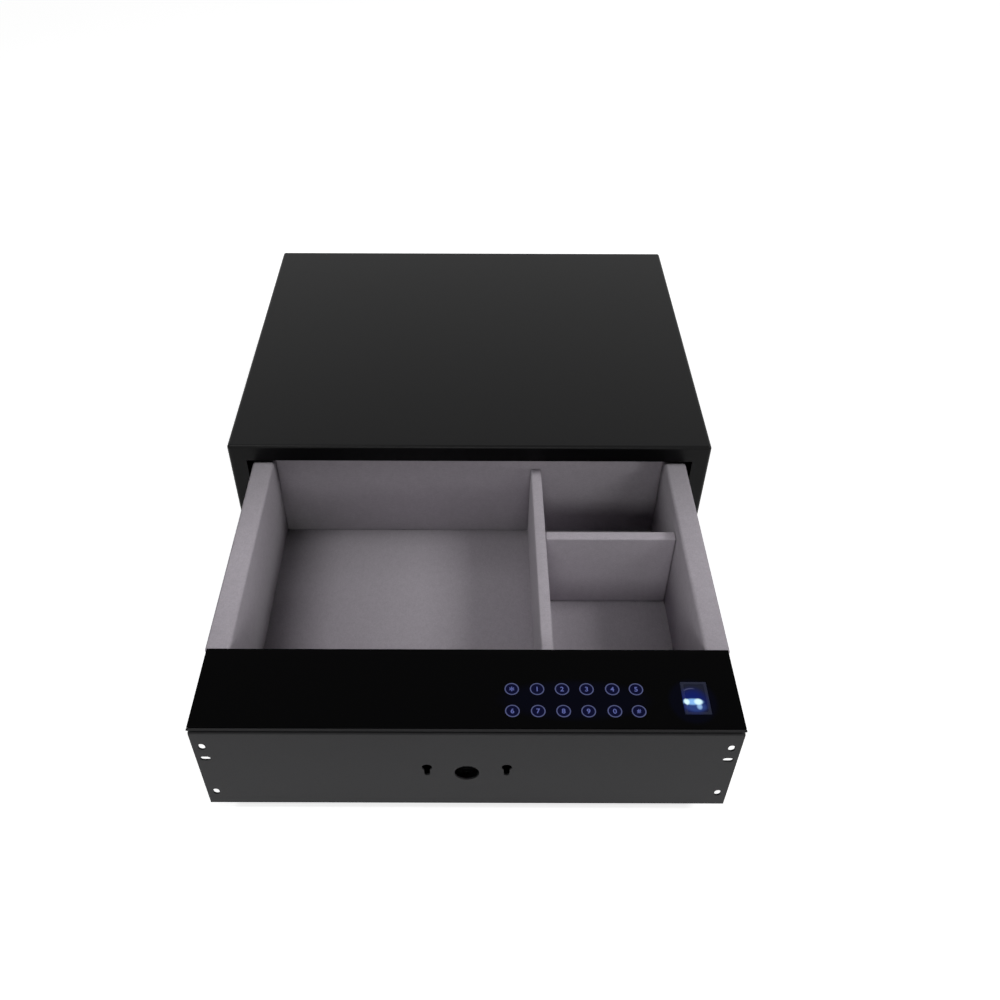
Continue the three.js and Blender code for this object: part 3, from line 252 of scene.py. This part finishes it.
def plated(name, dark, light, roughness, stretch=(1, 1, 1), **constants):
    """Plated or bare metal with faint drawing marks and a mottled sheen."""
    finish = Finish(name, Metallic=1.0, **constants)
    cloud = finish.grain(60, 3)
    marks = finish.grain(900, 3, 0.6, stretch)
    finish.vary("Base Color", finish.colour(cloud, dark, light))
    finish.vary("Roughness", marks * 0.16 + cloud * 0.08 + (roughness - 0.12))
    finish.relief(marks, 0.12, 0.05 * MM)
    return finish.material


def turned_brass(name):
    """Brass turned on a lathe about the drawer's depth: fine rings on its faces."""
    finish = Finish(name, Metallic=1.0)
    cloud = finish.grain(300, 2)
    rings = finish.grain(2400, 2, 0.5)
    finish.vary("Base Color", finish.colour(cloud, (0.42, 0.30, 0.11), (0.56, 0.42, 0.18)))
    finish.vary("Roughness", rings * 0.15 + 0.2)
    finish.relief(rings, 0.1, 0.03 * MM)
    return finish.material


def felt_cloth(name, dark, light):
    """Short pile felt: fibres in tangled streaks, a soft mottle and a light bloom at the rims."""
    finish = Finish(name, Roughness=0.95, Specular_IOR_Level=0.1, Sheen_Weight=0.12, Sheen_Roughness=0.6)
    fibre_a = finish.grain(1500, 4, 0.7, (1, 0.28, 1))
    fibre_b = finish.grain(1500, 4, 0.7, (0.28, 1, 0.6))
    mottle = finish.grain(170, 3, 0.6)
    pile = fibre_a * 0.5 + fibre_b * 0.5
    share = pile * 1.3 + mottle * 0.3 - 0.3
    finish.vary("Base Color", finish.colour(share, dark, light))
    finish.relief(pile + mottle * 0.4, 0.55, 0.35 * MM)
    return finish.material


def spot(x, y, middle, reach, start=0.0):
    """1 about the middle of an oval spot, falling to 0 at its reach in millimetres."""
    across = (x - middle[0] * MM) / (reach[0] * MM)
    along = (y - middle[1] * MM) / (reach[1] * MM)
    return (across.squared() + along.squared()).falling(start, 1.0)


def reader_spot(finish, offset, reach, start=0.0):
    """A spot placed from the fingerprint reader's middle."""
    middle = (READER_MIDDLE[0] + offset[0], READER_MIDDLE[1] + offset[1])
    return spot(finish.axis(0), finish.axis(1), middle, reach, start)


def gloss_acrylic(name):
    """Black acrylic, so slightly wavy that only its reflections show it. A painted glow about the keys and
    the reader's bar stands for light straying inside it.
    """
    finish = Finish(name, Specular_IOR_Level=0.018, Emission_Strength=1.0)
    # Painted glow: the panel's emission, about the keys and the reader's bar, stands in for their light
    # straying in the acrylic.
    painted_key_glow = spot(finish.axis(0), finish.axis(1), KEYPAD_MIDDLE, KEYPAD_GLOW, 0.4)
    painted_glow = painted_key_glow + reader_spot(finish, BAR, BAR_PAINTED_GLOW_REACH) * 3.2
    finish.vary("Emission Color", finish.colour(painted_glow, BLACK, (0.0001, 0.0003, 0.0034)))
    wave = finish.grain(22, 2)
    specks = finish.grain(700, 2)
    finish.vary("Base Color", finish.colour(specks, (0.0007, 0.0007, 0.0008), (0.0014, 0.0014, 0.0016)))
    finish.vary("Roughness", specks * 0.04 + 0.06)
    finish.relief(wave, 0.05, 0.1 * MM)
    return finish.material


def moulded(name, dark, light, roughness=0.5, spark=1300.0):
    """Moulded plastic or rubber with a fine spark-eroded grain."""
    finish = Finish(name, Specular_IOR_Level=0.4)
    texture = finish.grain(spark, 2, 0.6)
    cloud = finish.grain(40, 2)
    finish.vary("Base Color", finish.colour(cloud, dark, light))
    finish.vary("Roughness", texture * 0.12 + (roughness - 0.06))
    finish.relief(texture, 0.25, 0.06 * MM)
    return finish.material


def circuit_board(name):
    """Green solder mask over copper tracks, which stand up a little and look lighter."""
    finish = Finish(name, Specular_IOR_Level=0.5)
    mask = (*BLACK, 1)
    pattern = {"Vector": finish.position(), "Scale": 330.0, "Mortar Size": 0.22, "Bias": 0.0}
    colours = {"Color1": mask, "Color2": mask, "Mortar": WHITE}
    tracks = finish.node("ShaderNodeTexBrick", None, pattern | colours)
    cloud = finish.grain(120, 2)
    copper = tracks * 0.6 + cloud * 0.3
    finish.vary("Base Color", finish.colour(copper, (0.003, 0.035, 0.013), (0.012, 0.11, 0.04)))
    finish.vary("Roughness", cloud * 0.1 + 0.3)
    finish.relief(tracks, 0.2, 0.05 * MM)
    return finish.material


def cell_wrap(name):
    """Shrink wrap on a battery cell: smooth film with faint shrink lines along the cell."""
    finish = Finish(name, Specular_IOR_Level=0.5)
    lines = finish.grain(500, 2, 0.5, (0.05, 1, 1))
    cloud = finish.grain(30, 2)
    finish.vary("Base Color", finish.colour(cloud, (0.03, 0.035, 0.05), (0.05, 0.055, 0.07)))
    finish.vary("Roughness", lines * 0.1 + 0.25)
    finish.relief(lines, 0.1, 0.05 * MM)
    return finish.material


def key_light(name, colour):
    """Light behind the acrylic, a little uneven round each key."""
    finish = Finish(name, Roughness=0.15, Specular_IOR_Level=0.02, Emission_Strength=1.0)
    uneven = finish.grain(260, 2)
    finish.vary("Base Color", finish.colour(uneven, (0.001, 0.001, 0.004), (0.002, 0.002, 0.006)))
    dim = [c * 0.72 for c in colour]
    finish.vary("Emission Color", finish.colour(uneven, dim, colour))
    return finish.material


def reader_light(finish):
    """The sensor's light: a navy bloom, a bright bar with two hot spots, and the rim of the finger rest,
    with a painted highlight at its back left.
    """
    bloom = reader_spot(finish, BLOOM, BLOOM_REACH)
    rest = reader_spot(finish, FINGER_REST, REST_REACH, 0.72)
    rest_inside = reader_spot(finish, FINGER_REST, REST_INSIDE, 0.8)
    # Painted highlight: a lighter arc on the back left of the finger rest's rim, drawn in the emission.
    painted_rim_highlight = rest * (1.0 - rest_inside) * reader_spot(finish, REST_HIGHLIGHT, HIGHLIGHT_REACH)
    hot = sum(reader_spot(finish, offset, reach, 0.15) for offset, reach in HOT_SPOTS)
    layers = (
        (reader_spot(finish, LOWER_GLOW, LOWER_REACH, 0.2), (0.022, 0.048, 0.20)),
        (painted_rim_highlight, (0.09, 0.10, 0.20)),
        (reader_spot(finish, PATCH, PATCH_REACH), (0.28, 0.46, 0.75)),
        (reader_spot(finish, BAR, BAR_REACH, 0.1), (0.25, 0.50, 0.90)),
        (hot, (0.72, 0.97, 1.0)),
    )
    lit = finish.colour(bloom, (0.008, 0.0095, 0.020), (0.0008, 0.008, 0.115))
    for share, colour in layers:
        lit = finish.mixed(share, lit, (*colour, 1))
    return lit


def reader_glass(name):
    """The dark sensor glass, lit from under it."""
    finish = Finish(name, Roughness=0.08, Specular_IOR_Level=0.04, Emission_Strength=1.0)
    specks = finish.grain(900, 2)
    finish.vary("Emission Color", reader_light(finish))
    finish.vary("Base Color", finish.colour(specks, (0.002, 0.002, 0.004), (0.004, 0.004, 0.008)))
    return finish.material


def reader_rim(name):
    """The sensor's smoked plastic rim, which the light comes through."""
    finish = Finish(name, Specular_IOR_Level=0.06, Emission_Strength=1.0)
    texture = finish.grain(1300, 2, 0.6)
    finish.vary("Emission Color", reader_light(finish))
    finish.vary("Base Color", finish.colour(texture, (0.008, 0.009, 0.015), (0.014, 0.015, 0.025)))
    finish.vary("Roughness", texture * 0.12 + 0.4)
    return finish.material


FINISHES = {
    "powder_coat": powder_coat("grey_black_powder_coat", (0.0018, 0.0018, 0.0020), 0.35, 0.113),
    "front_coat": powder_coat("charcoal_powder_coat", (0.0275, 0.0272, 0.0288), 0.55, 0.15),
    "zinc": plated("zinc_plate", (0.42, 0.43, 0.45), (0.56, 0.57, 0.60), 0.38),
    "bright_steel": plated("bright_steel", (0.52, 0.53, 0.55), (0.62, 0.63, 0.66), 0.28, (1, 0.1, 1)),
    "brass": turned_brass("turned_brass"),
    "black_zinc": plated("black_zinc_plate", (0.012, 0.012, 0.013), (0.020, 0.020, 0.022), 0.45),
    "felt": felt_cloth("purplish_grey_felt", (0.32, 0.29, 0.33), (0.62, 0.58, 0.63)),
    "gloss_panel": gloss_acrylic("gloss_black_acrylic"),
    "black_plastic": moulded("black_moulding", (0.010, 0.010, 0.011), (0.016, 0.016, 0.017)),
    "reader_glass": reader_glass("lit_sensor_glass"),
    "circuit_board": circuit_board("green_board"),
    "rubber": moulded("buffer_rubber", (0.012, 0.012, 0.012), (0.02, 0.02, 0.02), 0.8, 600.0),
    "cell_wrap": cell_wrap("grey_cell_wrap"),
}
RING_LIGHT = key_light("key_ring_light", (0.095, 0.108, 0.235))
MARK_LIGHT = key_light("key_mark_light", (0.125, 0.15, 0.42))
DISC_LIGHT = key_light("key_disc_glow", (0.0016, 0.0023, 0.022))
NODE_FINISHES = {
    "fingerprint_bezel": reader_rim("smoked_reader_rim"),
    "top_cover": powder_coat("cover_powder_coat", (0.0125, 0.0124, 0.0132), 0.5, 0.13),
}


def slot_of(node):
    """The record's finish for a CAD node."""
    return nodes[node].data.materials[0].name.split(".")[0]


WELD_DISTANCE = 0.002 * MM
FLAT_ANGLE = 0.3
EDGE_ANGLE = 32.0


def keep_flats_flat(piece):
    """Lets only the rounded edges take the smooth shading."""
    shading = piece.modifiers.new("shading", "WEIGHTED_NORMAL")
    shading.keep_sharp = True
    shading.weight = 100


def soften_edges(piece, width):
    """Rounds the piece's edges a little and shades its flat faces flat."""
    weld = piece.modifiers.new("weld", "WELD")
    weld.merge_threshold = WELD_DISTANCE
    faces = piece.modifiers.new("whole_faces", "DECIMATE")
    faces.decimate_type = "DISSOLVE"
    faces.angle_limit = math.radians(FLAT_ANGLE)
    rounding = piece.modifiers.new("rounding", "BEVEL")
    rounding.width = width * MM
    rounding.segments = 2
    rounding.limit_method = "ANGLE"
    rounding.angle_limit = math.radians(EDGE_ANGLE)
    rounding.use_clamp_overlap = True
    rounding.harden_normals = True
    keep_flats_flat(piece)
    for face in piece.data.polygons:
        face.use_smooth = True


# How far each finish's edges are rounded, in millimetres.
EDGE_WIDTHS = {
    "powder_coat": 0.25,
    "front_coat": 0.25,
    "zinc": 0.12,
    "bright_steel": 0.1,
    "brass": 0.12,
    "black_zinc": 0.12,
    "felt": 0.5,
    "gloss_panel": 0.35,
    "black_plastic": 0.25,
    "reader_glass": 0.15,
    "circuit_board": 0.08,
    "rubber": 0.4,
    "cell_wrap": 0.3,
}


def dress_cad_nodes():
    for name, node in nodes.items():
        finish = slot_of(name)
        node.data.materials[0] = NODE_FINISHES.get(name, FINISHES[finish])
        soften_edges(node, EDGE_WIDTHS[finish])


def new_piece(name, mesh, body, finish, material=None):
    piece = bpy.data.objects.new(name, mesh)
    bpy.context.scene.collection.objects.link(piece)
    mesh.materials.clear()
    mesh.materials.append(material or FINISHES[finish])
    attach(piece, body)
    return piece


FELT_NODES = (
    "floor_liner",
    "left_side_liner",
    "right_side_liner",
    "rear_liner",
    "front_liner",
    "long_divider",
    "cross_divider",
)
STIFF_FELTS = ("front_liner",)
FELT_FLAT_ANGLE = 0.02
FELT_EDGE_ANGLE = 0.5
FELT_ROUNDING = 0.75 * MM


def felt_piece(node):
    """A felt covering in a CAD node's place, with soft edges, and softly shaded where it isn't stiff."""
    mesh = nodes[node].data.copy()
    work = bmesh.new()
    work.from_mesh(mesh)
    bmesh.ops.remove_doubles(work, verts=work.verts, dist=WELD_DISTANCE)
    bmesh.ops.dissolve_limit(work, angle_limit=FELT_FLAT_ANGLE, verts=work.verts, edges=work.edges)
    folds = [edge for edge in work.edges if len(edge.link_faces) == 2]
    sharp = [edge for edge in folds if edge.calc_face_angle() > FELT_EDGE_ANGLE]
    bmesh.ops.bevel(work, geom=sharp, offset=FELT_ROUNDING, segments=3, affect="EDGES", clamp_overlap=True)
    bmesh.ops.triangulate(work, faces=work.faces)
    for face in work.faces:
        face.smooth = True
    work.to_mesh(mesh)
    work.free()
    piece = new_piece("felt_" + node, mesh, "drawer", "felt")
    if node in STIFF_FELTS:
        keep_flats_flat(piece)
    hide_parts(node)


def flat_mesh(name, build):
    mesh = bpy.data.meshes.new(name)
    work = bmesh.new()
    build(work)
    bmesh.ops.recalc_face_normals(work, faces=work.faces)
    work.to_mesh(mesh)
    work.free()
    return mesh


def circle(x, y, radius, z):
    """Points round a key, in metres."""
    turns = [2 * math.pi * i / KEY_SIDES for i in range(KEY_SIDES)]
    return [((x + radius * math.cos(t)) * MM, (y + radius * math.sin(t)) * MM, z * MM) for t in turns]


def ring_mesh(name, x, y, inner, outer, low, high):
    """A flat ring of the panel's print, as a thin closed band."""

    def build(work):
        corners = ((inner, low), (outer, low), (outer, high), (inner, high))
        loops = [[work.verts.new(place) for place in circle(x, y, radius, z)] for radius, z in corners]
        for i in range(KEY_SIDES):
            j = (i + 1) % KEY_SIDES
            for near, far in zip(loops, loops[1:] + loops[:1]):
                work.faces.new((near[i], near[j], far[j], far[i]))

    return flat_mesh(name, build)


def disc_mesh(name, x, y, radius, low, high):
    """A flat disc of the panel's print."""

    def build(work):
        rims = [[work.verts.new(place) for place in circle(x, y, radius, z)] for z in (low, high)]
        work.faces.new(rims[0])
        work.faces.new(rims[1])
        for i in range(KEY_SIDES):
            j = (i + 1) % KEY_SIDES
            work.faces.new((rims[0][i], rims[0][j], rims[1][j], rims[1][i]))

    return flat_mesh(name, build)


def character_mesh(name, character, x, y):
    """A plain character lying on the panel, read from the drawer's front."""
    curve = bpy.data.curves.new(name, "FONT")
    curve.body = character
    curve.align_x = "CENTER"
    curve.align_y = "CENTER"
    curve.size = MARK_HEIGHTS.get(character, MARK_HEIGHT) * MM
    curve.extrude = MARK_THICKNESS * MM
    curve.offset = MARK_BOLDNESS * MM
    letter = bpy.data.objects.new(name, curve)
    bpy.context.scene.collection.objects.link(letter)
    bpy.context.view_layer.update()
    settled = letter.evaluated_get(bpy.context.evaluated_depsgraph_get())
    mesh = bpy.data.meshes.new_from_object(settled)
    bpy.data.objects.remove(letter)
    corners = [v.co for v in mesh.vertices]
    middle = [(min(c[k] for c in corners) + max(c[k] for c in corners)) / 2 for k in range(2)]
    rise = (PANEL_TOP + MARK_RISE) * MM
    mesh.transform(Matrix.Translation((x * MM - middle[0], y * MM - middle[1], rise)))
    return mesh


def touch_key(character, x, y):
    """A key's dim disc, lit ring and lit character."""
    key = "key_" + KEY_NAMES.get(character, character)
    bottom = PANEL_TOP - PRINT_DEPTH
    inner = KEY_RADIUS - RING_WIDTH
    disc = disc_mesh(key + "_disc", x, y, inner, bottom, PANEL_TOP + DISC_RISE)
    ring = ring_mesh(key + "_ring", x, y, inner, KEY_RADIUS, bottom, PANEL_TOP + RING_RISE)
    mark = character_mesh(key + "_mark", character, x, y)
    new_piece(key + "_disc", disc, "drawer", "gloss_panel", DISC_LIGHT)
    new_piece(key + "_ring", ring, "drawer", "gloss_panel", RING_LIGHT)
    new_piece(key + "_mark", mark, "drawer", "gloss_panel", MARK_LIGHT)


def keypad():
    for y, characters in KEY_ROWS:
        for x, character in zip(KEY_COLUMNS, characters):
            touch_key(character, x, y)


def studio():
    world = bpy.data.worlds.new("studio")
    bpy.context.scene.world = world
    world.use_nodes = True
    room = Shading(world.node_tree)
    dim = room.node("ShaderNodeBackground", None, {"Color": WHITE, "Strength": ROOM_GREY})
    white = room.node("ShaderNodeBackground", None, {"Color": WHITE, "Strength": 1.0})
    seen = room.mixed_shader(room.background_rays(), dim, white)
    room.feed(room.tree.nodes["World Output"].inputs["Surface"], seen)
    for lamp, (place, size, watts) in SOFTBOXES.items():
        softbox(lamp, place, size, watts)


def softbox(name, place, size, watts):
    lamp = bpy.data.lights.new(name, "AREA")
    lamp.shape = "RECTANGLE"
    lamp.size, lamp.size_y = size
    lamp.energy = watts
    box = bpy.data.objects.new(name, lamp)
    bpy.context.scene.collection.objects.link(box)
    box.location = place
    aim = Vector(SOFTBOX_AIM) - Vector(place)
    box.rotation_euler = aim.to_track_quat("-Z", "Y").to_euler()


def pale_floor():
    """A pale floor that shows the shadow, and goes over into the white background further out."""
    finish = Finish("pale_floor", Base_Color=FLOOR_PAINT, Roughness=0.9, Specular_IOR_Level=0.0)
    boards = Signal(finish, finish.shader.outputs["BSDF"])
    glow = finish.node("ShaderNodeEmission", None, {"Strength": FLOOR_GLOW})
    near = finish.node("ShaderNodeAddShader", None, (boards, glow))
    far = finish.node("ShaderNodeEmission", None, {"Strength": 1.0})
    nearness = spot(finish.axis(0), finish.axis(1), FLOOR_MIDDLE, FLOOR_FADE, FLOOR_FADE_START)
    seen = finish.mixed_shader(nearness, far, near)
    surface = finish.mixed_shader(finish.background_rays(), boards, seen)
    finish.feed(finish.tree.nodes["Material Output"].inputs["Surface"], surface)
    return finish.material


def floor():
    reach = FLOOR_REACH
    corners = [(-reach, -reach, 0), (reach, -reach, 0), (reach, reach, 0), (-reach, reach, 0)]
    mesh = bpy.data.meshes.new("floor")
    mesh.from_pydata(corners, [], [(0, 1, 2, 3)])
    mesh.materials.append(pale_floor())
    slab = bpy.data.objects.new("floor", mesh)
    bpy.context.scene.collection.objects.link(slab)
    slab.location.z = -FLOOR_DROP


def camera():
    data = bpy.data.cameras.new("photo_camera")
    data.lens = CAMERA_LENS
    data.sensor_width = CAMERA_SENSOR
    data.shift_x, data.shift_y = CAMERA_SHIFT
    data.clip_start = CAMERA_NEAR
    eye = bpy.data.objects.new("photo_camera", data)
    bpy.context.scene.collection.objects.link(eye)
    turn = (Matrix.Rotation(math.radians(CAMERA_YAW), 4, "Z")
            @ Matrix.Rotation(math.radians(CAMERA_TILT), 4, "X")
            @ Matrix.Rotation(math.radians(CAMERA_ROLL), 4, "Z"))
    eye.matrix_world = Matrix.Translation(CAMERA_PLACE) @ turn
    bpy.context.scene.camera = eye


camera()
studio()
floor()
dress_cad_nodes()
for liner in FELT_NODES:
    felt_piece(liner)
keypad()

bpy.context.scene.view_settings.view_transform = "Standard"
